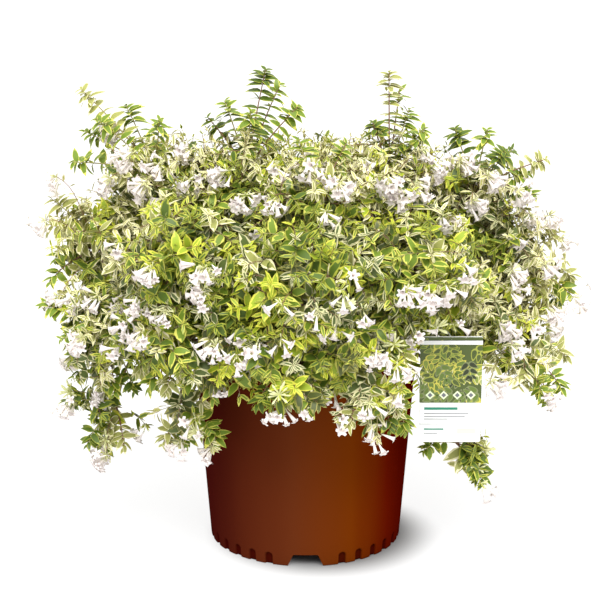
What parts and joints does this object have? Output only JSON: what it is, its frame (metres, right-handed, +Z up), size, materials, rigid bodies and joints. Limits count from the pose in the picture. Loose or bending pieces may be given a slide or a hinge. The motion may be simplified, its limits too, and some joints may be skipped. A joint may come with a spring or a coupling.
{
  "type": "potted flowering shrub",
  "caption": "Evergreen abelia in its nursery pot: arching canes, cream-edged leaves, white trumpet flowers and a hanging care label.",
  "frame": {"origin": "centre of the pot's flat underside, on the ground", "axes": "+Z up, the plant's front towards -Y, +X to the viewer's right"},
  "size_m": [0.7045, 0.6722, 0.6077],
  "materials": {
    "pot_plastic": "satin moulded red-brown plastic",
    "potting_mix": "damp bark and peat",
    "bark": "thin ridged red-brown bark",
    "foliage": "yellow-green leaves with cream edges, and white flowers",
    "label_card": "smooth printed card"
  },
  "bodies": {
    "root": {"pot": "pot_plastic", "soil": "potting_mix", "crown_stem": "bark", "label": "label_card", "cane_top_left": "bark", "cane_top_right": "bark", "cane_top_front": "bark", "cane_top_back": "bark", "cane_upper_left": "bark", "cane_upper_right": "bark", "cane_left": "bark", "cane_right": "bark", "cane_front_left": "bark", "cane_front_centre": "bark", "cane_front_right": "bark", "cane_lower_left": "bark", "cane_lower_right": "bark", "cane_low_front_left": "bark", "cane_low_front": "bark", "cane_low_front_right": "bark", "cane_card_side": "bark", "cane_hang_left": "bark", "cane_hang_front_left": "bark", "cane_hang_right": "bark", "cane_back_left": "bark", "cane_back_right": "bark", "cane_back_centre": "bark", "cane_low_back_left": "bark", "cane_low_back_right": "bark", "cane_low_back": "bark", "top_left": "foliage", "top_right": "foliage", "top_front": "foliage", "top_back": "foliage", "upper_left": "foliage", "upper_right": "foliage", "left": "foliage", "right": "foliage", "front_left": "foliage", "front_centre": "foliage", "front_right": "foliage", "lower_left": "foliage", "lower_right": "foliage", "low_front_left": "foliage", "low_front": "foliage", "low_front_right": "foliage", "card_side": "foliage", "hang_left": "foliage", "hang_front_left": "foliage", "hang_right": "foliage", "back_left": "foliage", "back_right": "foliage", "back_centre": "foliage", "low_back_left": "foliage", "low_back_right": "foliage", "low_back": "foliage"}
  },
  "joints": []
}
